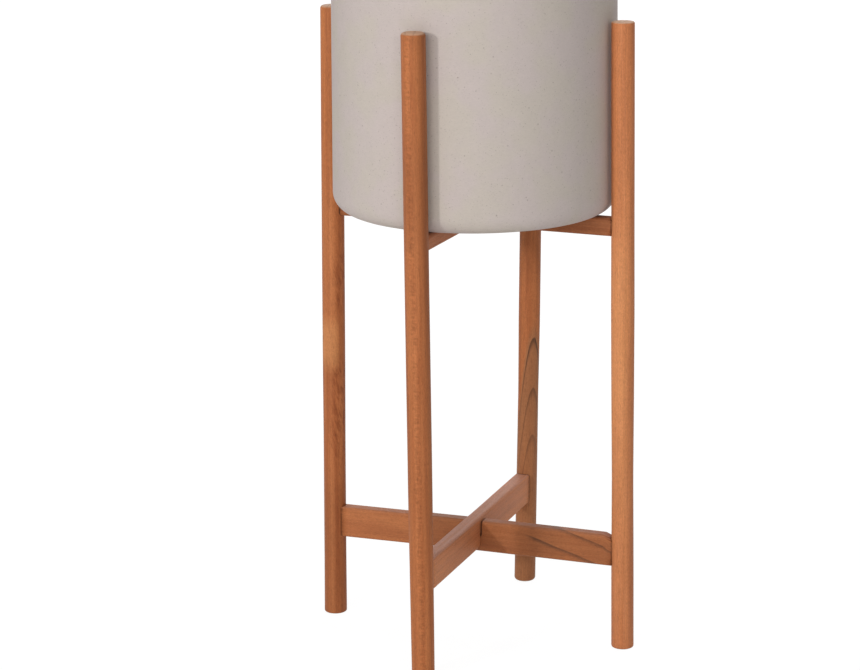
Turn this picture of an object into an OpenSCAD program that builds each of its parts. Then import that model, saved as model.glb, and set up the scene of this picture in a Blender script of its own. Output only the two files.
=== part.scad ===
// Planter with stand. A straight round pot rests on a cross of two rails between four round
// legs, and a second, deeper cross near the floor ties the legs together. Each cross is a
// half-lap joint, and every rail end is coped to its round leg and held by blind dowels.
// Sizes are in millimetres. +Z is up, +X points to the right leg and +Y to the back leg.
// The origin is on the floor, under the middle of the pot.

/* [Pot] */
// Outside diameter of the pot
pot_d = 185; // [150:1:260]
// Height of the pot
pot_h = 270; // [160:1:340]
// Thickness of the pot's wall
pot_wall = 9; // [6:0.5:14]
// Thickness of the pot's floor
pot_floor = 11; // [7:0.5:18]
// Radius of the rounded edge at the foot of the pot
pot_foot_r = 12; // [4:0.5:24]
// Radius inside the pot, between the floor and the wall
pot_inner_r = 10; // [3:0.5:20]
// Radius of both eased edges of the rim
rim_edge_r = 2.5; // [0.5:0.25:2.75]

/* [Legs] */
// Diameter of a leg
leg_d = 15; // [12:0.5:24]
// Height of the pot's seat, the top of the upper rails, above the floor
seat_h = 290; // [180:1:420]
// How far the legs stand up past the seat
leg_rise = 127; // [40:1:160]
// Gap between the pot and each leg
pot_gap = 3; // [1:0.5:8]
// Radius of the softened edge at the top of a leg
leg_top_r = 2.75; // [0.5:0.25:4]
// Radius of the softened edge at the foot of a leg
leg_foot_r = 2.25; // [0.5:0.25:4]

/* [Rails] */
// Thickness of every rail
rail_t = 9.2; // [7:0.1:11.5]
// Height of the upper rails
upper_rail_h = 11; // [8:0.5:24]
// Height of the lower rails
lower_rail_h = 21; // [14:0.5:40]
// Height of the underside of the lower rails above the floor
lower_rail_z = 56.5; // [20:0.5:120]
// Radius of the eased edges along a rail
rail_edge_r = 1.8; // [0.5:0.1:3]
// Radius of the eased corners at the ends of a rail
rail_end_r = 1.8; // [0.5:0.1:3]

/* [Joints] */
// Diameter of a dowel
dowel_d = 5; // [4:0.5:6]
// Length of a dowel in the leg
dowel_in_leg = 8.5; // [5:0.5:10]
// Length of a dowel in the rail
dowel_in_rail = 15; // [8:0.5:24]
// Chamfer at the ends of a dowel
dowel_chamfer = 0.6; // [0.2:0.1:1]
// Distance from the edge of a lower rail to the middle of its nearest dowel
dowel_inset = 5.5; // [4:0.5:6]
// Room left past each end of a dowel
dowel_end_gap = 0.5; // [0.2:0.1:1.5]
// Room for glue round the dowels and at the coped rail ends
glue_gap = 0.05; // [0.02:0.01:0.1]
// Play on each side of a rail in its half-lap
lap_gap = 0.15; // [0.05:0.05:0.4]

/* [Hidden] */
$fn = 96;

// Directions from the middle of the stand to its legs
RIGHT = 0;
BACK = 90;
LEFT = 180;
FRONT = 270;

CLAY = [0.76, 0.72, 0.69];
LEG_TEAK = [0.73, 0.45, 0.29];
RAIL_TEAK = [0.66, 0.41, 0.28];
DOWEL_WOOD = [0.86, 0.74, 0.56];

// Cuts run this far past the face that they open
overcut = 1;

pot_r = pot_d / 2;
pot_cavity_r = pot_r - pot_wall;
leg_r = leg_d / 2;
leg_h = seat_h + leg_rise;
// Circle that the legs' axes stand on
leg_circle_r = pot_r + pot_gap + leg_r;
upper_rail_z = seat_h - upper_rail_h;
cope_r = leg_r + glue_gap;
// Where the side faces of a rail run into the round of its leg
rail_face_end = leg_circle_r - sqrt(cope_r * cope_r - rail_t * rail_t / 4);
// The rounded end of a rail carries on this far under the round of the leg
rail_end_run = 0.3;
// Inner side of a leg, where the dowels cross from rail to leg
joint_x = leg_circle_r - leg_r;
upper_dowel_heights = [upper_rail_z + upper_rail_h / 2];
lower_dowel_heights = [lower_rail_z + dowel_inset, lower_rail_z + lower_rail_h - dowel_inset];

// Waste outside a rounded corner at the origin, of a body that lies towards +X and +Y
module corner_waste(r) {
    difference() {
        translate([-overcut, -overcut]) square(r + overcut);
        translate([r, r]) circle(r);
    }
}

// Bar section: a rectangle about the Y axis, standing on the X axis, with four eased corners
module eased_section(w, h, r) {
    difference() {
        translate([-w / 2, 0]) square([w, h]);
        for (across = [0, 1], up = [0, 1])
            translate([(across - 0.5) * w, up * h])
                mirror([across, 0]) mirror([0, up]) corner_waste(r);
    }
}

// Half outline of a round piece, to turn about the Y axis, with a rounded foot and top edge
module turned_outline(r, h, foot_r, top_r) {
    difference() {
        square([r, h]);
        translate([r, 0]) mirror([1, 0]) corner_waste(foot_r);
        translate([r, h]) mirror([1, 0]) mirror([0, 1]) corner_waste(top_r);
    }
}

// Half outline of the pot's hollow, with a rounded bottom corner, open past the rim
module cavity_outline() {
    depth = pot_h - pot_floor + overcut;
    translate([0, pot_floor])
        difference() {
            square([pot_cavity_r, depth]);
            translate([pot_cavity_r, 0]) mirror([1, 0]) corner_waste(pot_inner_r);
        }
}

// The pot's section: one even wall and floor, rounded foot, rim eased on both edges
module pot_section() {
    difference() {
        turned_outline(pot_r, pot_h, pot_foot_r, rim_edge_r);
        cavity_outline();
        translate([pot_cavity_r, pot_h]) mirror([0, 1]) corner_waste(rim_edge_r);
    }
}

// Places a piece that is made at the right-hand side at another side of the stand
module at_side(direction) {
    rotate([0, 0, direction]) children();
}

// Blind bores that run from a rail into the right leg, one at each height
module dowel_bores(heights) {
    length = dowel_in_rail + dowel_in_leg + 2 * dowel_end_gap;
    for (z = heights)
        translate([joint_x - dowel_in_rail - dowel_end_gap, 0, z])
            rotate([0, 90, 0]) cylinder(d = dowel_d + 2 * glue_gap, h = length);
}

// Dowels at the right leg, one at each height, with chamfered ends
module dowels(heights) {
    length = dowel_in_rail + dowel_in_leg;
    tip_d = dowel_d - 2 * dowel_chamfer;
    for (z = heights)
        translate([joint_x - dowel_in_rail, 0, z])
            rotate([0, 90, 0]) {
                cylinder(d1 = tip_d, d2 = dowel_d, h = dowel_chamfer);
                translate([0, 0, dowel_chamfer])
                    cylinder(d = dowel_d, h = length - 2 * dowel_chamfer);
                translate([0, 0, length - dowel_chamfer])
                    cylinder(d1 = dowel_d, d2 = tip_d, h = dowel_chamfer);
            }
}

// The right leg: a round bar with softened ends, bored for the dowels of both rails
module leg() {
    difference() {
        translate([leg_circle_r, 0, 0])
            rotate_extrude() turned_outline(leg_r, leg_h, leg_foot_r, leg_top_r);
        dowel_bores(upper_dowel_heights);
        dowel_bores(lower_dowel_heights);
    }
}

// Bar along X with all its long edges and its end corners eased, standing on z = 0
module rail_blank(h) {
    half_length = rail_face_end + rail_end_run;
    intersection() {
        rotate([90, 0, 90])
            linear_extrude(2 * leg_circle_r, center = true) eased_section(rail_t, h, rail_edge_r);
        rotate([90, 0, 0])
            linear_extrude(rail_t + 2 * overcut, center = true)
                eased_section(2 * half_length, h, rail_end_r);
    }
}

// Rail along X. Its ends are coped to the right and left legs and bored for their dowels.
// lap_z is the height at which the half-lap starts, which takes away half of the rail.
module rail(z, h, heights, lap_z) {
    lap_w = rail_t + 2 * lap_gap;
    lap_from = lap_z > z ? lap_z : z - overcut;
    difference() {
        translate([0, 0, z]) rail_blank(h);
        for (direction = [RIGHT, LEFT])
            at_side(direction) {
                translate([leg_circle_r, 0, z - overcut]) cylinder(r = cope_r, h = h + 2 * overcut);
                dowel_bores(heights);
            }
        translate([-lap_w / 2, -rail_t, lap_from]) cube([lap_w, 2 * rail_t, h / 2 + overcut]);
    }
}

// Rail of a cross that passes under the other rail: its lap is cut from the top
module rail_under(z, h, heights) {
    rail(z, h, heights, z + h / 2);
}

// Rail of a cross that runs over the other rail: its lap is cut from the underside
module rail_over(z, h, heights) {
    at_side(BACK) rail(z, h, heights, z);
}

module pot() {
    color(CLAY) translate([0, 0, seat_h]) rotate_extrude() pot_section();
}

module front_leg() {
    color(LEG_TEAK) at_side(FRONT) leg();
}

module right_leg() {
    color(LEG_TEAK) at_side(RIGHT) leg();
}

module back_leg() {
    color(LEG_TEAK) at_side(BACK) leg();
}

module left_leg() {
    color(LEG_TEAK) at_side(LEFT) leg();
}

module upper_rail_front_back() {
    color(RAIL_TEAK) rail_over(upper_rail_z, upper_rail_h, upper_dowel_heights);
}

module upper_rail_left_right() {
    color(RAIL_TEAK) rail_under(upper_rail_z, upper_rail_h, upper_dowel_heights);
}

module lower_rail_front_back() {
    color(RAIL_TEAK) rail_over(lower_rail_z, lower_rail_h, lower_dowel_heights);
}

module lower_rail_left_right() {
    color(RAIL_TEAK) rail_under(lower_rail_z, lower_rail_h, lower_dowel_heights);
}

module upper_front_dowel() {
    color(DOWEL_WOOD) at_side(FRONT) dowels(upper_dowel_heights);
}

module upper_right_dowel() {
    color(DOWEL_WOOD) at_side(RIGHT) dowels(upper_dowel_heights);
}

module upper_back_dowel() {
    color(DOWEL_WOOD) at_side(BACK) dowels(upper_dowel_heights);
}

module upper_left_dowel() {
    color(DOWEL_WOOD) at_side(LEFT) dowels(upper_dowel_heights);
}

module lower_front_dowels() {
    color(DOWEL_WOOD) at_side(FRONT) dowels(lower_dowel_heights);
}

module lower_right_dowels() {
    color(DOWEL_WOOD) at_side(RIGHT) dowels(lower_dowel_heights);
}

module lower_back_dowels() {
    color(DOWEL_WOOD) at_side(BACK) dowels(lower_dowel_heights);
}

module lower_left_dowels() {
    color(DOWEL_WOOD) at_side(LEFT) dowels(lower_dowel_heights);
}

pot();
front_leg();
right_leg();
back_leg();
left_leg();
upper_rail_front_back();
upper_rail_left_right();
lower_rail_front_back();
lower_rail_left_right();
upper_front_dowel();
upper_right_dowel();
upper_back_dowel();
upper_left_dowel();
lower_front_dowels();
lower_right_dowels();
lower_back_dowels();
lower_left_dowels();
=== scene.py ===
import math
from dataclasses import dataclass

import bmesh
import bpy
from bpy.props import FloatProperty, FloatVectorProperty, IntProperty, PointerProperty
from bpy.types import Operator, Panel, PropertyGroup
from mathutils import Matrix, Vector, noise


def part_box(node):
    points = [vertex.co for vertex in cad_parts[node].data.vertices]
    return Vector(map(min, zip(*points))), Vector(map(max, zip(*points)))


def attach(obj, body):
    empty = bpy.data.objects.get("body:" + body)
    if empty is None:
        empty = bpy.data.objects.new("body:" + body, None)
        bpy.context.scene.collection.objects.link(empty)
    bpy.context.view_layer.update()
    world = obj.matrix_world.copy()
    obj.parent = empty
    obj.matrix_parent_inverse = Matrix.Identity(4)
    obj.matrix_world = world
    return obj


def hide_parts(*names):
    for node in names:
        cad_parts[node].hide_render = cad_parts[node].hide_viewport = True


bl_info = {
    "name": "Planter with Stand",
    "version": (1, 0, 0),
    "blender": (4, 5, 0),
    "location": "View3D > Sidebar > Planter",
    "description": "A speckled clay pot in a stand of round teak legs and cross-lapped rails",
    "category": "Add Mesh",
}

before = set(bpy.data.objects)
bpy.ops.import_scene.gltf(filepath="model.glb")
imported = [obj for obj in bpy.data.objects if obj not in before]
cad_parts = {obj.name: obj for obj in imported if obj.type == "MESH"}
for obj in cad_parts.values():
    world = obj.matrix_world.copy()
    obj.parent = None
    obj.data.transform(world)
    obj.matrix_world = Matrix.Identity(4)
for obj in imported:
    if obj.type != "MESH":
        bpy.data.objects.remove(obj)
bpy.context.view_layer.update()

MM = 0.001
POT_LOW, POT_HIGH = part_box("pot")
POT_RADIUS = POT_HIGH.x
SEAT_HEIGHT = POT_LOW.z
RIM_HEIGHT = POT_HIGH.z
LEG_LOW, LEG_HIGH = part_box("right_leg")
LEG_RADIUS = (LEG_HIGH.x - LEG_LOW.x) / 2
LEG_CIRCLE = (LEG_HIGH.x + LEG_LOW.x) / 2
LEG_HEIGHT = LEG_HIGH.z
RAIL_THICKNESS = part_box("lower_rail_left_right")[1].y * 2
UPPER_RAIL_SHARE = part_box("upper_rail_left_right")[1].z / LEG_HEIGHT

# The vector attribute that holds a point's place in its piece of wood, in millimetres:
# two ways across the grain, then along it
GRAIN = "grain"

# Index of refraction of clay and of wood, and how strongly the oiled teak shines
CLAY_IOR = 1.45
WOOD_IOR = 1.47
OIL_SHEEN = 0.25

# Depth of the relief in each finish, in metres
CLAY_RELIEF = 0.00014
TEAK_RELIEF = 0.00009
DOWEL_RELIEF = 0.00006


def tint(red, green, blue):
    """A colour written as 0 to 255 per channel, as linear red, green and blue."""
    channels = (c / 255 for c in (red, green, blue))
    return tuple(c / 12.92 if c <= 0.04045 else ((c + 0.055) / 1.055) ** 2.4 for c in channels)


def length(name, description, default, **limits):
    """A size in metres that the sidebar shows in scene units."""
    return FloatProperty(name=name, description=description, default=default,
                         unit="LENGTH", subtype="DISTANCE", precision=4, **limits)


def angle(name, description, degrees):
    return FloatProperty(name=name, description=description, default=math.radians(degrees),
                         unit="ROTATION", subtype="ANGLE")


def power(name, description, watts):
    return FloatProperty(name=name, description=description, default=watts, min=0, unit="POWER")


def colour(name, description, red, green, blue):
    return FloatVectorProperty(name=name, description=description, subtype="COLOR", size=3,
                               min=0.0, max=1.0, default=tint(red, green, blue))


# Settings

class StageSettings(PropertyGroup):
    """Camera, lamps and floor."""
    camera_distance: length("Camera distance", "Level distance from the pot's axis", 1.8071)
    camera_height: length("Camera height", "Height of the camera above the floor", 0.6706)
    camera_azimuth: angle("Camera azimuth", "Way round from the front leg to the camera", 20.478)
    camera_turn: angle("Camera turn", "How far the camera looks past the axis, to its left", 0.9555)
    camera_pitch: angle("Camera pitch", "How far the camera looks down", 14.480)
    camera_roll: angle("Camera roll", "Roll of the camera about its view", -0.5283)
    lens: FloatProperty(name="Lens", description="Focal length on a 36 mm wide sensor, in millimetres",
                        default=118.74, min=20, max=300)
    key_power: power("Key lamp", "Power of the small lamp at the front left", 16.7)
    front_power: power("Front lamp", "Power of the broad lamp in front", 11.8)
    fill_power: power("Fill lamp", "Power of the broad lamp at the front right", 6.3)
    top_power: power("Top lamp", "Power of the broad lamp overhead", 11.3)
    back_power: power("Back lamp", "Power of the broad lamp behind", 6.0)
    surround: FloatProperty(name="Surround", description="Light from the pale room all round",
                            default=0.35, min=0, max=1)
    shadow_share: FloatProperty(name="Shadow share", description="How strongly the floor shows shadow",
                                default=0.1, min=0, max=1, subtype="FACTOR")


class PotSettings(PropertyGroup):
    """Sizes and colours of the clay pot."""
    wall: length("Wall", "Thickness of the pot's wall", 0.009)
    floor: length("Floor", "Thickness of the pot's floor", 0.011)
    foot_radius: length("Foot radius", "Radius of the rounded edge at the foot", 0.012)
    inner_radius: length("Inner radius", "Radius inside, between the floor and the wall", 0.010)
    rim_radius: length("Rim radius", "Radius of both edges of the rim", 0.0025)
    unevenness: length("Unevenness", "How far the wall wanders inwards from a true round", 0.00025)
    draft: length("Draft", "How much nearer the axis the wall is at the rim than at the foot", 0.002)
    segments: IntProperty(name="Segments", description="Faces round the pot", default=240, min=24)
    clay: colour("Clay", "Body colour of the clay", 193, 181, 176)
    clay_warm: colour("Warm clay", "Warmer clay in the soft mottling", 192, 182, 172)
    speck: colour("Speck", "Dark grains in the clay", 112, 97, 90)


class WoodSettings(PropertyGroup):
    """Colours of the oiled teak, with its painted sheen and painted joint shade, and of the dowels."""
    station: length("Station", "Distance between the rings of edges along a piece", 0.006)
    teak_light: colour("Light teak", "Colour between the growth lines", 187, 114, 67)
    teak_deep: colour("Deep teak", "Colour of the broad darker bands", 154, 84, 44)
    teak_pale: colour("Pale teak", "Colour of the palest stretches", 213, 146, 91)
    teak_line: colour("Growth line", "Colour of the narrow dark growth lines", 84, 55, 37)
    teak_brown: colour("Brown patch", "Colour of the dull brown wood inside dark rings", 158, 111, 75)
    # Painted sheen: a grey painted highlight, strongest on a rail's top face
    painted_sheen_colour: colour("Painted sheen", "Greyer colour of a rail's top face", 172, 122, 100)
    teak_end: colour("End grain", "Colour of the sanded ends", 203, 163, 134)
    # A dark glue line where a rail meets a leg, with painted contact shade beside it
    joint_line_and_shade: colour("Joint line and shade", "Dark line where a rail meets a leg", 46, 28, 19)
    dowel: colour("Dowel", "Colour of the pale dowels", 218, 190, 145)
    dowel_line: colour("Dowel line", "Growth lines of the pale dowels", 186, 152, 106)


# Shader maths

class Value:
    """A number that changes over a surface. Python arithmetic on it adds Math nodes."""

    def __init__(self, finish, socket):
        self.finish = finish
        self.socket = socket

    def _math(self, operation, *terms):
        return self.finish.node("ShaderNodeMath", {"operation": operation}, dict(enumerate(terms)))

    def __add__(self, other):
        return self._math("ADD", self, other)

    def __sub__(self, other):
        return self._math("SUBTRACT", self, other)

    def __rsub__(self, other):
        return self._math("SUBTRACT", other, self)

    def __mul__(self, other):
        return self._math("MULTIPLY", self, other)

    def __truediv__(self, other):
        return self._math("DIVIDE", self, other)

    def __pow__(self, exponent):
        return self._math("POWER", self, exponent)

    def __abs__(self):
        return self._math("ABSOLUTE", self)

    __radd__ = __add__
    __rmul__ = __mul__

    def whole(self):
        return self._math("FLOOR", self)

    def fraction(self):
        return self._math("FRACT", self)

    def rise(self, low, high):
        """0 below low and 1 above high, with a smooth rise between; it falls if low is above high."""
        return self.finish.node("ShaderNodeMapRange", {"interpolation_type": "SMOOTHSTEP"},
                                {"Value": self, "From Min": low, "From Max": high})


def set_stops(ramp, stops):
    """Gives a ramp its (place, grey) stops, with an eased run between them."""
    ramp.interpolation = "EASE"
    while len(ramp.elements) < len(stops):
        ramp.elements.new(0.5)
    for element, (place, grey) in zip(ramp.elements, stops):
        element.position = place
        element.color = (grey, grey, grey, 1.0)


class Finish:
    """One material, with a call that adds any node and a few for what recurs."""

    def __init__(self, name):
        self.material = bpy.data.materials.new(name)
        self.material.use_nodes = True
        self.tree = self.material.node_tree
        self.tree.nodes.clear()

    def node(self, kind, settings=None, inputs=None, output=0):
        """Adds a node, sets it up, feeds its sockets, and returns one output or a list of them."""
        node = self.tree.nodes.new(kind)
        for name, setting in (settings or {}).items():
            if name == "stops":
                set_stops(node.color_ramp, setting)
            else:
                setattr(node, name, setting)
        for key, value in (inputs or {}).items():
            if isinstance(value, Value):
                self.tree.links.new(value.socket, node.inputs[key])
            else:
                node.inputs[key].default_value = value
        if isinstance(output, tuple):
            return [Value(self, node.outputs[name]) for name in output]
        return Value(self, node.outputs[output]) if node.outputs else None

    def vector(self, x, y, z):
        return self.node("ShaderNodeCombineXYZ", None, {0: x, 1: y, 2: z})

    def parts(self, vector):
        return self.node("ShaderNodeSeparateXYZ", None, {0: vector}, ("X", "Y", "Z"))

    def scaled(self, vector, scale):
        return self.node("ShaderNodeVectorMath", {"operation": "SCALE"}, {0: vector, "Scale": scale})

    def noise(self, vector, detail=2.0, roughness=0.5):
        """Smooth noise of about 0 to 1, one lump for each unit of its vector."""
        return self.node("ShaderNodeTexNoise", None,
                         {"Vector": vector, "Scale": 1.0, "Detail": detail, "Roughness": roughness})

    def mix(self, share, first, second, kind="MIX"):
        """A colour between two others; each may be a plain colour."""
        full = [c if isinstance(c, Value) else (*c, 1.0) for c in (first, second)]
        settings = {"data_type": "RGBA", "blend_type": kind, "clamp_factor": True}
        return self.node("ShaderNodeMix", settings, {0: share, 6: full[0], 7: full[1]}, 2)

    def shaded(self, tone, shade):
        """A colour made lighter or darker by a number."""
        return self.mix(1.0, tone, self.vector(shade, shade, shade), "MULTIPLY")

    def surface(self, **inputs):
        """Ends the material in one physically based shader."""
        named = {name.replace("_", " "): value for name, value in inputs.items()}
        shader = self.node("ShaderNodeBsdfPrincipled", None, named)
        self.node("ShaderNodeOutputMaterial", None, {"Surface": shader})
        return self.material


def bump(finish, height, depth):
    """A normal from a height of 0 to 1 that stands for a real depth, given in metres."""
    return finish.node("ShaderNodeBump", None, {"Strength": 1.0, "Distance": depth, "Height": height})


# Clay

# Dark grains in the clay: about one for each cube of the first size, of the second size as
# radius, in millimetres, and how much the darkest of them hides the clay
SPECKS = ((5.6, 0.56, 0.5), (3.0, 0.42, 0.42), (1.6, 0.3, 0.36))


def clay_finish(settings):
    """Matt stoneware: soft mottling, sparse dark specks, faint level streaks and a dry grain."""
    finish = Finish("Speckled clay")
    place = finish.scaled(finish.node("ShaderNodeTexCoord", output="Object"), 1000.0)

    def specks(spacing, radius):
        """A mask of round grains, each with its own strength."""
        gap, tone = finish.node("ShaderNodeTexVoronoi", None,
                                {"Vector": finish.scaled(place, 1 / spacing), "Scale": 1.0},
                                ("Distance", "Color"))
        strength = finish.parts(tone)[0]
        edge = radius / spacing
        return gap.rise(edge, edge * 0.6) * (0.3 + 0.7 * strength)

    x, y, z = finish.parts(place)
    mottling = finish.noise(finish.scaled(place, 1 / 26.0), 3.0)
    cloud = finish.noise(finish.scaled(place, 1 / 7.0), 2.0)
    level_streaks = finish.noise(finish.vector(x / 2.6, y / 2.6, z / 0.8), 2.0, 0.6)
    dry_grain = finish.noise(finish.scaled(place, 1 / 0.9), 3.0, 0.65)
    tone = finish.mix(mottling.rise(0.4, 0.62), settings.clay, settings.clay_warm)
    tone = finish.shaded(tone, 0.85 + 0.06 * cloud + 0.12 * level_streaks + 0.12 * dry_grain)
    grains = [specks(spacing, radius) for spacing, radius, _ in SPECKS]
    for mask, (_, _, strength) in zip(grains, SPECKS):
        tone = finish.mix(strength * mask, tone, settings.speck)
    height = 0.5 * dry_grain + 0.3 * cloud + 0.3 * level_streaks - 0.3 * grains[0]
    return finish.surface(Base_Color=tone, Roughness=0.84 + 0.1 * dry_grain, IOR=CLAY_IOR,
                          Normal=bump(finish, height, CLAY_RELIEF))


# Wood

# Stops of a value that stays at 1, and of one that stays at 0, all along a stick
EVEN = ((0, 1), (1, 1))
NOWHERE = ((0, 0), (1, 0))


@dataclass
class Grain:
    """How one stick was cut from the tree. Growth rings lie round a pith that passes beside the
    stick. Lengths are in millimetres, and stops are (place, value) pairs, where the place is 0
    at the stick's low end and 1 at its high end."""
    # Moves the noise, so that no two sticks are alike
    seed: int
    # Place of the pith across the stick, and how far it moves for each millimetre along it
    pith: tuple
    slant: tuple
    # Distance between the rings, and the part of a ring that the pith starts with
    spacing: float
    phase: float = 0.0
    # Strength of the narrow lines and of the broad bands, and how far the rings wander
    line: float = 0.1
    band: float = 0.3
    wander: float = 1.0
    # Radii between which the rings are drawn dark, stops of how dark, and how brown it is inside
    dark_rings: tuple = (0.0, 0.1)
    dark: tuple = NOWHERE
    brown: float = 0.0
    # Radius past which no wood is pale, and how much darker it is there
    heart: tuple = (99.0, 0.0)
    # Radii between which a fine ripple lies across the grain, and its strength
    curl: tuple = (0.0, 99.0, 0.25)
    # Strength of the painted sheen, a grey painted highlight, on the top face and on the others
    painted_sheen: tuple = (0.0, 0.0)
    # Stops of how light the stick is, how pale, and how strong its slanting wild grain
    tones: tuple = EVEN
    pale: tuple = NOWHERE
    wild: tuple = NOWHERE


def teak_finish(name, grain, axis, ends, settings, joint=None):
    """Oiled teak with a painted sheen, for one stick that runs along an axis between two ends, in
    millimetres. Where the pith slants, the rings leave arches on the side. joint makes a mask of the
    dark joint lines of a rail, glue lines with painted contact shade. A leg has none, and shows the
    end grain of its sanded ends."""
    finish = Finish(name)
    place = finish.node("ShaderNodeAttribute", {"attribute_name": GRAIN}, None, "Vector")
    across, over, along = finish.parts(place)
    share = (along - ends[0]) / (ends[1] - ends[0])
    drift = grain.seed * 37.0

    def streaks(width, run, detail=2.0, roughness=0.5, skew=0.0):
        """Noise drawn out along the grain, in lumps of a width and a run; skew slants it."""
        shift = drift + 7.0 * width + run
        stretched = finish.vector((across + skew * along + shift) / width, over / width,
                                  (along + shift) / run)
        return finish.noise(stretched, detail, roughness)

    def ramp(stops):
        return finish.node("ShaderNodeValToRGB", {"stops": stops}, {"Fac": share}, "Color")

    # Growth rings, as years counted out from the pith
    wander = grain.wander * (2.6 * (streaks(16.0, 110.0) - 0.5) + 0.6 * (streaks(2.5, 26.0) - 0.5))
    from_pith_across = across - grain.pith[0] - grain.slant[0] * along
    from_pith_over = over - grain.pith[1] - grain.slant[1] * along
    radius = (from_pith_across ** 2.0 + from_pith_over ** 2.0) ** 0.5 + wander
    years = radius / grain.spacing + grain.phase
    season = years.fraction()
    year_tone = finish.node("ShaderNodeTexWhiteNoise", {"noise_dimensions": "1D"},
                            {"W": years.whole() + 0.5 + grain.seed})
    low, high = grain.dark_rings
    dark_rings = radius.rise(low - 0.8, low) * radius.rise(high + 0.8, high)
    late = season.rise(0.62, 0.94) * season.rise(1.0, 0.955)
    blotch = streaks(4.5, 11.0, 3.0, 0.6)
    growth_line = late ** 2.6 * (grain.line * (0.3 + 0.7 * year_tone)
                                 + ramp(grain.dark) * dark_rings * (0.35 + 1.1 * blotch))
    band = season.rise(0.05, 0.8) * season.rise(1.0, 0.8) * (0.3 + 0.7 * year_tone)

    # Marks along the grain, from broad streaks down to pores, and marks across it
    broad = streaks(3.6, 120.0, 3.0)
    narrow = streaks(1.1, 45.0, 3.0, 0.6)
    pinstripe = streaks(0.5, 22.0, 2.0)
    fleck = streaks(0.6, 1.5, 2.0, 0.6)
    dash = streaks(0.55, 7.0, 2.0, 0.6)
    pores = streaks(0.4, 3.6, 1.0).rise(0.6, 0.72)
    near, far, strength = grain.curl
    curl = strength * radius.rise(near - 1.0, near + 1.0) * radius.rise(far + 1.0, far - 1.0)
    curl = curl * (streaks(3.0, 1.3, 1.0, skew=0.4) - 0.5)
    heart = radius.rise(grain.heart[0] - 2.0, grain.heart[0] + 2.0)
    wild = ramp(grain.wild) * streaks(2.3, 20.0, 3.0, 0.6, skew=0.34).rise(0.4, 0.7)
    wild = wild * radius.rise(grain.heart[0] - 7.0, grain.heart[0] - 1.0)

    # Colour
    deep = 0.55 * broad.rise(0.32, 0.7) + 0.7 * grain.band * band + 0.25 * (blotch - 0.45)
    tone = finish.mix(deep + 0.8 * wild, settings.teak_light, settings.teak_deep)
    pale = ramp(grain.pale) * (1 - heart) * (0.7 + 0.6 * blotch)
    tone = finish.mix(pale, tone, settings.teak_pale)
    tone = finish.mix(grain.brown * radius.rise(high + 0.6, high - 1.2), tone, settings.teak_brown)
    tone = finish.mix(growth_line, tone, settings.teak_line)
    shade = ramp(grain.tones) * (1 - grain.heart[1] * heart)
    shade = shade * (0.38 + 0.2 * narrow + 0.18 * pinstripe + 0.52 * fleck + 0.24 * dash
                     + 0.1 * blotch + 0.5 * curl - 0.2 * pores - 0.2 * wild)

    # Painted sheen, shade, joint lines with painted contact shade or end grain, and relief
    normal = finish.parts(finish.node("ShaderNodeTexCoord", output="Normal"))
    # Painted sheen: a grey painted highlight, strongest on the top face, in streaks along the grain
    on_top, elsewhere = grain.painted_sheen
    painted_sheen = elsewhere + (on_top - elsewhere) * normal[2].rise(0.2, 0.95)
    painted_sheen = painted_sheen * (0.4 + 0.4 * fleck + 0.8 * narrow.rise(0.35, 0.65))
    tone = finish.mix(painted_sheen, tone, settings.painted_sheen_colour)
    tone = finish.shaded(tone, shade)
    # Dark joint lines of a rail: glue lines with painted contact shade, and painted shade in a lap's
    # gap
    if joint:
        tone = finish.mix(joint(finish, across, over, along), tone, settings.joint_line_and_shade)
    else:
        end_face = abs(normal["XYZ".index(axis)]).rise(0.3, 0.9)
        end_tone = finish.shaded(settings.teak_end, 0.9 + 0.2 * narrow - 0.2 * late - 0.2 * pores)
        tone = finish.mix(0.9 * end_face, tone, end_tone)
    height = 0.5 * dash + 0.35 * narrow - 0.6 * pores - 0.3 * growth_line
    roughness = 0.54 + 0.14 * dash - 0.08 * broad
    return finish.surface(Base_Color=tone, Roughness=roughness, IOR=WOOD_IOR,
                          Specular_IOR_Level=OIL_SHEEN, Normal=bump(finish, height, TEAK_RELIEF))


def dowel_finish(settings):
    """Plain pale beech-like dowel, straight in the grain."""
    finish = Finish("Pale dowel wood")
    place = finish.node("ShaderNodeAttribute", {"attribute_name": GRAIN}, None, "Vector")
    across, over, along = finish.parts(place)
    lines = finish.noise(finish.vector(across / 0.9, over / 0.9, along / 40.0), 3.0, 0.6)
    fleck = finish.noise(finish.vector(across / 0.3, over / 0.3, along / 2.5), 2.0)
    tone = finish.mix(lines.rise(0.35, 0.7), settings.dowel, settings.dowel_line)
    tone = finish.mix(0.25 * fleck.rise(0.55, 0.75), tone, settings.dowel_line)
    return finish.surface(Base_Color=tone, Roughness=0.6 + 0.1 * fleck, IOR=WOOD_IOR,
                          Normal=bump(finish, lines + 0.4 * fleck, DOWEL_RELIEF))


# Meshes

# Corners nearer than the first are one corner, and a cut this near to a corner goes through it
WELD_DISTANCE = 0.002 * MM
CUT_SNAP = 0.001 * MM

# Faces that meet at a wider angle than this show a sharp edge
CREASE = math.radians(32)

# A rail's end moves as one with its leg, up to this distance from the leg's axis
RAIL_END_REACH = LEG_RADIUS * 1.5


def cad_shape(node):
    """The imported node's shape as an editable mesh, with the corners that its faces share welded."""
    mesh = bmesh.new()
    mesh.from_mesh(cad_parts[node].data)
    bmesh.ops.remove_doubles(mesh, verts=mesh.verts, dist=WELD_DISTANCE)
    return mesh


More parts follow.
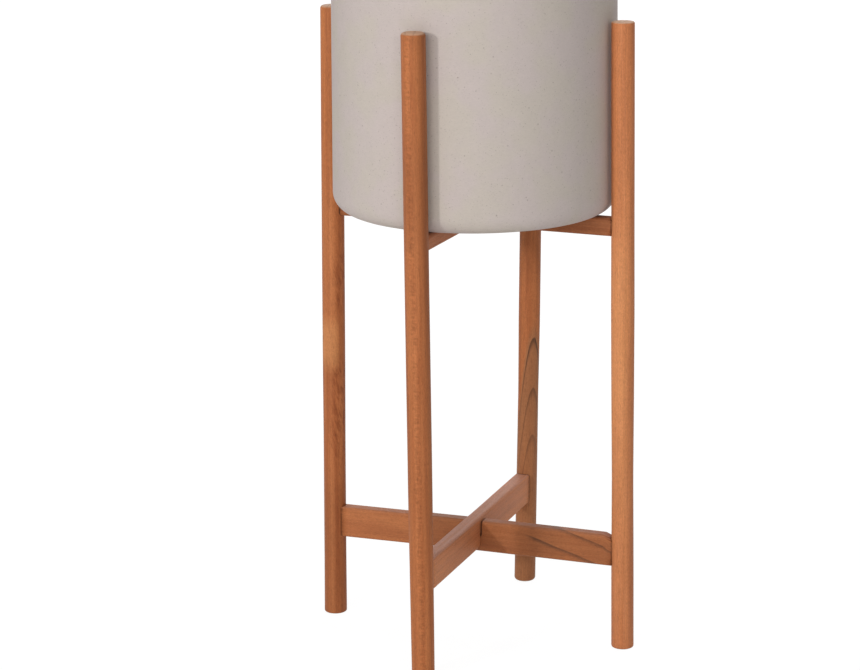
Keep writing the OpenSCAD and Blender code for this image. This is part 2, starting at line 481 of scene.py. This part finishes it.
def cut_across(mesh, axis, spacing):
    """Adds a ring of edges every so often along one axis, so that a straight piece can bend."""
    places = [v.co[axis] for v in mesh.verts]
    low, high = min(places), max(places)
    count = round((high - low) / spacing)
    normal = Vector((0, 0, 0))
    normal[axis] = 1
    for i in range(1, count):
        bmesh.ops.bisect_plane(mesh, geom=mesh.verts[:] + mesh.edges[:] + mesh.faces[:],
                               dist=CUT_SNAP, plane_no=normal,
                               plane_co=normal * (low + (high - low) * i / count))


def mark_grain(mesh, axis, centre):
    """Stores each point's place across and along the grain, before anything is bent."""
    layer = mesh.verts.layers.float_vector.new(GRAIN)
    across, over = [i for i in range(3) if i != axis]
    for v in mesh.verts:
        place = (v.co - centre) / MM
        v[layer] = (place[across], place[over], place[axis])


def leg_lean(leg, height):
    """How far a leg's axis has sprung from true at a height."""
    share = height / LEG_HEIGHT
    out, side = (f + (t - f) * share for f, t in zip(leg.foot, leg.top))
    return (Vector(leg.way) * out + Vector((-leg.way[1], leg.way[0])) * side) * MM


def spring(mesh):
    """Lets every point of the stand follow the legs, which have sprung a little from true.
    A leg moves as one, and a rail is drawn out from the crossing to its two legs."""
    run = LEG_CIRCLE - 2 * RAIL_END_REACH
    for v in mesh.verts:
        leans = [leg_lean(leg, v.co.z) for leg in LEGS.values()]
        middle = sum(leans, Vector((0, 0))) / len(leans)
        shift = middle.copy()
        for leg, lean in zip(LEGS.values(), leans):
            share = (v.co.xy.dot(Vector(leg.way)) - RAIL_END_REACH) / run
            shift += (lean - middle) * min(max(share, 0), 1)
        v.co += shift.to_3d()


def add_piece(name, mesh, material, body, node):
    """Makes the mesh a piece of the object that rides on a body and stands for a CAD node."""
    data = bpy.data.meshes.new(name)
    mesh.to_mesh(data)
    mesh.free()
    data.shade_smooth()
    data.set_sharp_from_angle(angle=CREASE)
    data.materials.append(material)
    piece = bpy.data.objects.new(name, data)
    bpy.context.scene.collection.objects.link(piece)
    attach(piece, body)
    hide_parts(node)


# Stage

# The lamps: name, place, size of the square, and the setting that holds the power
LAMPS = (
    ("Key lamp", (-0.84, -2.25, 0.98), 0.15, "key_power"),
    ("Front lamp", (0, -2.3, 1.2), 1.0, "front_power"),
    ("Fill lamp", (0.96, -1.98, 1.0), 0.8, "fill_power"),
    ("Top lamp", (0.1, 0.5, 2.2), 1.3, "top_power"),
    ("Back lamp", (-0.84, 2.25, 1.2), 1.0, "back_power"),
)
LAMP_TARGET = Vector((0, 0, RIM_HEIGHT / 2))

# Half the floor's width, the grey that it is lit as, how bright it looks, and the distances
# from the middle between which its shadow fades out
FLOOR_HALF = 12.0
FLOOR_GREY = (0.85, 0.85, 0.85, 1.0)
FLOOR_GLOW = 1.06
SHADOW_FADE = (0.3, 0.9)
WHITE = (1, 1, 1, 1)


def add_camera(settings):
    data = bpy.data.cameras.new("Camera")
    data.sensor_width = 36.0
    data.lens = settings.lens
    camera = bpy.data.objects.new("Camera", data)
    bpy.context.scene.collection.objects.link(camera)
    azimuth = settings.camera_azimuth
    place = Vector((math.sin(azimuth) * settings.camera_distance,
                    -math.cos(azimuth) * settings.camera_distance, settings.camera_height))
    camera.matrix_world = (Matrix.Translation(place)
                           @ Matrix.Rotation(azimuth + settings.camera_turn, 4, "Z")
                           @ Matrix.Rotation(math.pi / 2 - settings.camera_pitch, 4, "X")
                           @ Matrix.Rotation(settings.camera_roll, 4, "Z"))
    bpy.context.scene.camera = camera


def add_lamp(name, place, size, watts):
    """A square soft lamp that faces the middle of the object."""
    data = bpy.data.lights.new(name, "AREA")
    data.size = size
    data.energy = watts
    lamp = bpy.data.objects.new(name, data)
    bpy.context.scene.collection.objects.link(lamp)
    lamp.location = place
    towards = LAMP_TARGET - lamp.location
    lamp.rotation_euler = towards.to_track_quat("-Z", "Y").to_euler()


def background_rays(finish):
    """1 for rays that should see the plain background: from the camera, and off or through gloss."""
    camera, glossy, through = finish.node("ShaderNodeLightPath", None, None,
                                          ("Is Camera Ray", "Is Glossy Ray", "Is Transmission Ray"))
    return camera + glossy + through


def add_floor(settings):
    """A pale floor that looks white but still takes shadow, and can be looked through from below."""
    data = bpy.data.meshes.new("Floor")
    corners = ((-1, -1), (1, -1), (1, 1), (-1, 1))
    data.from_pydata([(x * FLOOR_HALF, y * FLOOR_HALF, 0) for x, y in corners], [], [(0, 1, 2, 3)])
    floor = bpy.data.objects.new("Floor", data)
    bpy.context.scene.collection.objects.link(floor)
    finish = Finish("Pale floor")
    x, y, _ = finish.parts(finish.node("ShaderNodeTexCoord", output="Object"))
    full, gone = SHADOW_FADE
    near = ((x ** 2.0 + y ** 2.0) ** 0.5).rise(gone, full)
    lit = finish.node("ShaderNodeBsdfDiffuse", None, {"Color": FLOOR_GREY})
    white = finish.node("ShaderNodeEmission", None, {"Color": WHITE, "Strength": FLOOR_GLOW})
    seen = finish.node("ShaderNodeMixShader", None,
                       {0: settings.shadow_share * near, 1: white, 2: lit})
    look = finish.node("ShaderNodeMixShader", None, {0: background_rays(finish), 1: lit, 2: seen})
    below = finish.node("ShaderNodeNewGeometry", output="Backfacing")
    clear = finish.node("ShaderNodeBsdfTransparent")
    look = finish.node("ShaderNodeMixShader", None, {0: below, 1: look, 2: clear})
    finish.node("ShaderNodeOutputMaterial", None, {"Surface": look})
    data.materials.append(finish.material)


class Surround(Finish):
    """The room, as the world's nodes."""

    def __init__(self, strength):
        world = bpy.data.worlds.new("Pale room")
        world.use_nodes = True
        bpy.context.scene.world = world
        self.tree = world.node_tree
        self.tree.nodes.clear()
        level = strength + (1 - strength) * background_rays(self)
        sky = self.node("ShaderNodeBackground", None, {"Color": WHITE, "Strength": level})
        self.node("ShaderNodeOutputWorld", None, {"Surface": sky})


class PLANTER_OT_stage(Operator):
    """Sets up the camera, the lamps, the pale room and the floor."""
    bl_idname = "planter.stage"
    bl_label = "Stage"

    def execute(self, context):
        settings = context.scene.planter_stage
        add_camera(settings)
        add_floor(settings)
        Surround(settings.surround)
        for name, place, size, setting in LAMPS:
            add_lamp(name, place, size, getattr(settings, setting))
        context.scene.view_settings.view_transform = "Standard"
        return {"FINISHED"}


# Pot

# Lumps of the pot's unevenness in a metre
POT_LUMPS = 14.0


def arc(centre, radius, start, end, steps):
    """Points on an arc in the turning plane, from one angle to another, in degrees."""
    angles = [math.radians(start + (end - start) * i / steps) for i in range(steps + 1)]
    return [(centre[0] + radius * math.cos(a), centre[1] + radius * math.sin(a)) for a in angles]


def straight(start, end, steps):
    """Points inside a straight stretch, without its ends."""
    return [(start[0] + (end[0] - start[0]) * i / steps, start[1] + (end[1] - start[1]) * i / steps)
            for i in range(1, steps)]


def pot_outline(settings):
    """Half section of the pot from the middle underneath, over the rim, to the middle inside.
    The last number of each run is its number of faces."""
    outer, low, high = POT_RADIUS, SEAT_HEIGHT, RIM_HEIGHT
    inner, bottom = outer - settings.wall, low + settings.floor
    foot, rim, well = settings.foot_radius, settings.rim_radius, settings.inner_radius
    points = straight((0, low), (outer - foot, low), 10)
    points += arc((outer - foot, low + foot), foot, -90, 0, 14)
    points += straight((outer, low + foot), (outer, high - rim), 44)
    points += arc((outer - rim, high - rim), rim, 0, 90, 8)
    points += arc((inner + rim, high - rim), rim, 90, 180, 8)
    points += straight((inner, high - rim), (inner, bottom + well), 42)
    points += arc((inner - well, bottom + well), well, 0, -90, 10)
    points += straight((inner - well, bottom), (0, bottom), 10)
    return points


def drawn_in(place, settings):
    """A point of the pot, moved in by the draft and by slow, shallow unevenness."""
    lump = 0.5 + 0.5 * noise.noise(place * POT_LUMPS)
    inward = settings.draft * (place.z - SEAT_HEIGHT) / (RIM_HEIGHT - SEAT_HEIGHT)
    inward += settings.unevenness * lump
    scale = 1 - inward / max(place.xy.length, POT_RADIUS / 2)
    return Vector((place.x * scale, place.y * scale, place.z))


class PLANTER_OT_pot(Operator):
    """Turns the clay pot: rounded foot, even wall, eased rim."""
    bl_idname = "planter.pot"
    bl_label = "Pot"

    def execute(self, context):
        settings = context.scene.planter_pot
        segments = settings.segments
        mesh = bmesh.new()
        rings = []
        for radius, height in pot_outline(settings):
            around = [math.tau * i / segments for i in range(segments)]
            places = [Vector((radius * math.cos(a), radius * math.sin(a), height)) for a in around]
            rings.append([mesh.verts.new(drawn_in(p, settings)) for p in places])
        for ring, following in zip(rings, rings[1:]):
            for i in range(segments):
                j = (i + 1) % segments
                mesh.faces.new((ring[i], ring[j], following[j], following[i]))
        for ring, height in ((rings[0][::-1], SEAT_HEIGHT),
                             (rings[-1], SEAT_HEIGHT + settings.floor)):
            middle = mesh.verts.new((0, 0, height))
            for i in range(segments):
                mesh.faces.new((middle, ring[i], ring[(i + 1) % segments]))
        add_piece("clay_pot", mesh, clay_finish(settings), "pot", "pot")
        return {"FINISHED"}


# Legs

@dataclass
class Leg:
    """How one hand-shaped leg differs from a true bar. Lengths are in millimetres."""
    # The way to the leg from the pot's axis
    way: tuple
    # How far its foot and its top have sprung, outwards and sideways
    foot: tuple
    top: tuple
    # Its girth: stops of (share of its height, share of the CAD's girth)
    girth: tuple
    # How far its middle is bowed sideways
    bow: float
    # How far its top stands above true
    rise: float
    # Radii of the edges of its foot and of its top
    edges: tuple
    grain: Grain


LEGS = {
    "front_leg": Leg(
        (0, -1), (-1.8, 0.6), (-1.8, -1.9), ((0, 0.975), (0.12, 1.0), (0.3, 1.035), (1, 1.02)),
        -0.1, 1.1, (1.2, 2.2),
        Grain(1, (-37.5, -14), (-0.0117, -0.0044), 5.2, band=0.25, heart=(48.2, 0.19),
              curl=(39.5, 43.5, 1.4),
              tones=((0, 1.0), (0.3, 0.95), (0.66, 0.94), (0.72, 0.85), (0.8, 0.85), (0.88, 0.95),
                     (0.96, 0.97), (1, 0.9)))),
    "right_leg": Leg(
        (1, 0), (0, -1.2), (-2.6, -2.5),
        ((0, 0.985), (0.12, 0.98), (0.28, 0.935), (0.4, 0.975), (0.55, 1.01), (0.7, 0.99),
         (1, 0.985)),
        0.0, -1.4, (1.1, 1.1),
        Grain(2, (-38, 6), (0.0, 0.0), 4.4, band=0.2, heart=(45.2, 0.1), painted_sheen=(0.1, 0.12),
              tones=((0, 1.2), (0.5, 1.2), (1, 1.23)),
              pale=((0, 0.1), (0.12, 0.2), (0.35, 0.42), (0.45, 0.55), (0.6, 0.5), (0.72, 0.22),
                    (0.85, 0.12)))),
    "back_leg": Leg(
        (0, 1), (0, 2.3), (0, -3.4),
        ((0, 0.985), (0.2, 0.955), (0.33, 0.93), (0.45, 0.985), (0.55, 0.985), (1, 0.96)),
        -0.8, 0.0, (2.2, 2.2),
        Grain(3, (16.2, -14.9), (0.100, -0.092), 4.65, phase=0.636, line=0.04, wander=0.5,
              dark_rings=(27.0, 40.0), brown=0.55,
              dark=((0, 0.3), (0.26, 0.45), (0.34, 0.62), (0.4, 0.9), (1, 0.9)),
              tones=((0, 0.93), (0.1, 0.975), (0.2, 0.96), (0.3, 0.93), (0.42, 0.95), (0.5, 0.99),
                     (0.57, 0.84), (1, 0.84)))),
    "left_leg": Leg(
        (-1, 0), (-0.2, 2.5), (-2.8, -2.6),
        ((0, 1.02), (0.1, 1.0), (0.3, 0.99), (0.45, 1.015), (1, 1.0)),
        0.2, 0.0, (1.1, 2.0),
        Grain(4, (-36, -12), (0.0, 0.0), 6.2, band=0.6, heart=(42.0, 0.0),
              tones=((0, 0.85), (0.18, 0.84), (0.27, 0.98), (0.35, 1.01), (0.42, 0.95), (0.48, 1.0),
                     (1, 1.06)),
              pale=((0, 0), (0.4, 0.0), (0.44, 0.55), (0.48, 0.5), (0.51, 0.05), (1, 0.05)),
              wild=((0, 0.1), (0.22, 0.15), (0.34, 1.0), (0.4, 1.0), (0.45, 0.1), (0.5, 0.2),
                    (0.54, 0.9), (0.58, 0.7), (0.62, 0.2), (1, 0.2)))),
}

# Radii of the edges of every leg's foot and top in the CAD, in metres
CAD_EDGES = (2.25 * MM, 2.75 * MM)

# Small lumps of a leg's girth: their number in a metre each way, and their share of the girth
LEG_LUMPS = Vector((60, 60, 18))
LEG_LUMP_SHARE = 0.006


def between(stops, share):
    """The value at a share, in even runs between (share, value) stops."""
    for (low, first), (high, second) in zip(stops, stops[1:]):
        if share <= high:
            return first + (second - first) * max(0, share - low) / (high - low)
    return stops[-1][1]


def round_end(v, out, end, cad_edge, edge):
    """Gives a point on the rounded edge of a leg's end the radius that this leg was sanded to."""
    cosine = (out.length - LEG_RADIUS + cad_edge) / cad_edge
    if abs(v.co.z - end) < cad_edge * 1.001 and cosine > -0.001:
        v.co.xy += out.normalized() * (edge - cad_edge) * (cosine - 1)
        v.co.z = end + (v.co.z - end) * edge / cad_edge


def shape_leg(mesh, leg, centre):
    """Gives a true bar the ends, the uneven girth and the bow of a leg shaped and sanded by hand."""
    sideways = Vector((-leg.way[1], leg.way[0], 0))
    for v in mesh.verts:
        for end, cad_edge, edge in zip((0, LEG_HEIGHT), CAD_EDGES, leg.edges):
            round_end(v, v.co.xy - centre.xy, end, cad_edge, edge * MM)
        share = v.co.z / LEG_HEIGHT
        girth = between(leg.girth, share) + LEG_LUMP_SHARE * noise.noise(v.co * LEG_LUMPS)
        v.co.x += (v.co.x - centre.x) * (girth - 1)
        v.co.y += (v.co.y - centre.y) * (girth - 1)
        v.co += sideways * (leg.bow * MM * math.sin(math.pi * share))
        v.co.z += leg.rise * MM * max(0, (share - UPPER_RAIL_SHARE) / (1 - UPPER_RAIL_SHARE))


class PLANTER_OT_legs(Operator):
    """Shapes the four round teak legs."""
    bl_idname = "planter.legs"
    bl_label = "Legs"

    def execute(self, context):
        settings = context.scene.planter_wood
        for node, leg in LEGS.items():
            mesh = cad_shape(node)
            centre = Vector((*leg.way, 0)) * LEG_CIRCLE
            cut_across(mesh, 2, settings.station)
            mark_grain(mesh, 2, centre)
            shape_leg(mesh, leg, centre)
            spring(mesh)
            finish = teak_finish(node + " teak", leg.grain, "Z", (0, LEG_HEIGHT / MM), settings)
            add_piece(node + "_turned", mesh, finish, "stand", node)
        return {"FINISHED"}


# Rails

# Half the lap's width in the CAD, with its play, and how far the worn lap gapes on one side
LAP_PLAY = 0.15 * MM
LAP_HALF = RAIL_THICKNESS / 2 + LAP_PLAY
LAP_GAPE = 0.45 * MM


@dataclass
class Rail:
    """How one rail differs from a true one. Lengths are in metres."""
    # The axis that it runs along, 0 or 1, and whether it passes under the other rail
    axis: int
    under: bool
    grain: Grain
    # How far the top corner at its high end is worn down
    worn_end: float = 0.0
    # How far its low and high ends are lifted
    lift: tuple = (0.0, 0.0)
    # How much it swells towards its low side, and how much deeper it is
    swell: float = 0.0
    depth: float = 0.0
    # How dark the joint line and its painted contact shade are at its low and high ends
    joint: tuple = (0.85, 0.85)

    def joint_line_and_shade_mask(self, finish, across, over, along):
        """A ragged dark line at each end of the rail, against the round of the leg: a glue line with
        painted contact shade. And painted shade in the gap of the lap in the upper half of a rail that
        passes under the other."""
        out = abs(along) - LEG_CIRCLE / MM
        gap = (out ** 2.0 + across ** 2.0) ** 0.5 - LEG_RADIUS / MM
        ragged = finish.noise(finish.vector(across / 1.6, over / 1.6, along / 1.6), 2.0)
        low, high = self.joint
        strength = low + (high - low) * along.rise(-1.0, 1.0)
        mask = strength * (gap - 2.4 * (ragged - 0.4)).rise(1.0, 0.1)
        # Painted shade in the gap of the lap, in the rail's upper half
        if self.under:
            lap = along.rise(LAP_HALF / MM + 0.95, LAP_HALF / MM + 0.55) * along.rise(0.0, 1.0)
            mask = mask + 0.8 * lap * over.rise(0.4, 1.4)
        return mask


RAILS = {
    "lower_rail_left_right": Rail(0, True, Grain(
        5, (-22, -30), (0.0, -0.29), 13.1, phase=0.232, line=0.06, dark_rings=(43.0, 68.0), brown=0.1,
        painted_sheen=(0.27, 0.03), dark=((0, 0), (0.67, 0), (0.73, 0.85), (0.8, 0.65), (1, 0.6)),
        tones=((0, 1.04), (0.25, 1.02), (0.33, 0.7), (0.45, 0.68), (0.55, 0.82), (0.65, 0.82),
               (0.75, 0.69), (0.85, 0.82), (1, 0.82))),
        worn_end=0.003, lift=(-0.0011, -0.0001), depth=0.0002, joint=(0.45, 0.3)),
    "lower_rail_front_back": Rail(1, False, Grain(
        6, (44, -20), (0.03, 0.03), 5.0, painted_sheen=(0.85, 0.22),
        tones=((0, 1.28), (0.4, 1.06), (1, 1.25)), pale=((0, 0.25), (0.4, 0.1), (1, 0.15))),
        lift=(0.0012, 0.0023), swell=0.0011),
    "upper_rail_left_right": Rail(0, True, Grain(
        7, (36, 22), (0.02, -0.02), 4.2, painted_sheen=(0.3, 0.1), tones=((0, 0.75), (0.8, 0.75), (1, 0.84))),
        depth=0.001, joint=(0.85, 0.55)),
    "upper_rail_front_back": Rail(1, False, Grain(
        8, (-30, 30), (0.02, 0.03), 4.6, painted_sheen=(0.3, 0.15), tones=((0, 0.97), (1, 0.97))),
        depth=-0.0012),
}

# How far along the rail its worn end reaches
WORN_RUN = 7 * MM

# A point nearer than this to a lap's wall, or to the round of a leg, is on it
ON_LAP = 0.1 * MM
ON_LEG = 0.3 * MM

# Small lumps of a rail: their number in a metre along, across and up, and how much they take
# off its thickness and its depth, as shares
RAIL_LUMPS = Vector((24, 90, 50))
THICKNESS_LOSS = 0.012
DEPTH_LOSS = 0.006

# Share of the lower half of a rail, from its middle, that keeps its depth
KEPT_DEPTH = 0.46


def shape_rail(mesh, rail, low, high):
    """Softens a true rail: faint unevenness, one top corner worn down at its far end, a lap
    that gapes a little on one side, and a slight lift, swell and change of depth. Its coped
    ends stay against the legs."""
    middle = (low.z + high.z) / 2
    half_height = (high.z - low.z) / 2
    face_end = high[rail.axis]
    across = 1 - rail.axis
    for v in mesh.verts:
        along = v.co[rail.axis]
        from_leg = math.hypot(LEG_CIRCLE - abs(along), v.co[across])
        if rail.under and abs(along - LAP_HALF) < ON_LAP and v.co.z > middle - ON_LAP:
            v.co[rail.axis] += LAP_GAPE
        lump = noise.noise(Vector((along, v.co[across], v.co.z)) * RAIL_LUMPS)
        v.co[across] *= 1 - THICKNESS_LOSS * (0.5 + 0.5 * lump)
        if v.co[across] < 0:
            v.co[across] -= rail.swell * min(1, -v.co[across] / (RAIL_THICKNESS / 4))
        if from_leg < LEG_RADIUS + ON_LEG:
            reach = math.sqrt(from_leg ** 2 - v.co[across] ** 2)
            v.co[rail.axis] = math.copysign(LEG_CIRCLE - reach, along)
        v.co.z += (v.co.z - middle) * DEPTH_LOSS * (lump - 1)
        worn = max(0.0, (along - face_end + WORN_RUN) / WORN_RUN) ** 2
        up = (v.co.z - middle) / half_height
        v.co.z -= rail.worn_end * worn * max(0.0, up)
        v.co.z -= rail.depth * max(0.0, -up - KEPT_DEPTH) / (1 - KEPT_DEPTH)
        v.co.z += rail.lift[0] + (rail.lift[1] - rail.lift[0]) * (0.5 + 0.5 * along / face_end)


class PLANTER_OT_rails(Operator):
    """Makes the four coped rails, half-lapped over each other in two crosses."""
    bl_idname = "planter.rails"
    bl_label = "Rails"

    def execute(self, context):
        settings = context.scene.planter_wood
        for node, rail in RAILS.items():
            low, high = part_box(node)
            mesh = cad_shape(node)
            cut_across(mesh, rail.axis, settings.station)
            mark_grain(mesh, rail.axis, Vector((0, 0, (low.z + high.z) / 2)))
            shape_rail(mesh, rail, low, high)
            spring(mesh)
            ends = (low[rail.axis] / MM, high[rail.axis] / MM)
            finish = teak_finish(node + " teak", rail.grain, "XY"[rail.axis], ends, settings,
                                 rail.joint_line_and_shade_mask)
            add_piece(node + "_shaped", mesh, finish, "stand", node)
        return {"FINISHED"}


# Dowels

class PLANTER_OT_dowels(Operator):
    """Sets the pale dowels in their bores."""
    bl_idname = "planter.dowels"
    bl_label = "Dowels"

    def execute(self, context):
        settings = context.scene.planter_wood
        finish = dowel_finish(settings)
        for node in sorted(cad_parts):
            if "dowel" not in node:
                continue
            low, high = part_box(node)
            axis = 0 if high.x - low.x > high.y - low.y else 1
            mesh = cad_shape(node)
            mark_grain(mesh, axis, (low + high) / 2)
            spring(mesh)
            add_piece(node + "_set", mesh, finish, "stand", node)
        return {"FINISHED"}


class PLANTER_PT_parts(Panel):
    """Lists the pieces of the planter."""
    bl_label = "Planter with Stand"
    bl_space_type = "VIEW_3D"
    bl_region_type = "UI"
    bl_category = "Planter"

    def draw(self, context):
        for operator in OPERATORS:
            self.layout.operator(operator.bl_idname)


OPERATORS = (PLANTER_OT_stage, PLANTER_OT_pot, PLANTER_OT_legs, PLANTER_OT_rails, PLANTER_OT_dowels)
SETTINGS = {"planter_stage": StageSettings, "planter_pot": PotSettings, "planter_wood": WoodSettings}
CLASSES = (*SETTINGS.values(), *OPERATORS, PLANTER_PT_parts)


def register():
    for cls in CLASSES:
        bpy.utils.register_class(cls)
    for name, group in SETTINGS.items():
        setattr(bpy.types.Scene, name, PointerProperty(type=group))


def unregister():
    for name in SETTINGS:
        delattr(bpy.types.Scene, name)
    for cls in reversed(CLASSES):
        bpy.utils.unregister_class(cls)


def main():
    register()
    bpy.ops.planter.stage()
    bpy.ops.planter.pot()
    bpy.ops.planter.legs()
    bpy.ops.planter.rails()
    bpy.ops.planter.dowels()


if __name__ == "__main__":
    main()
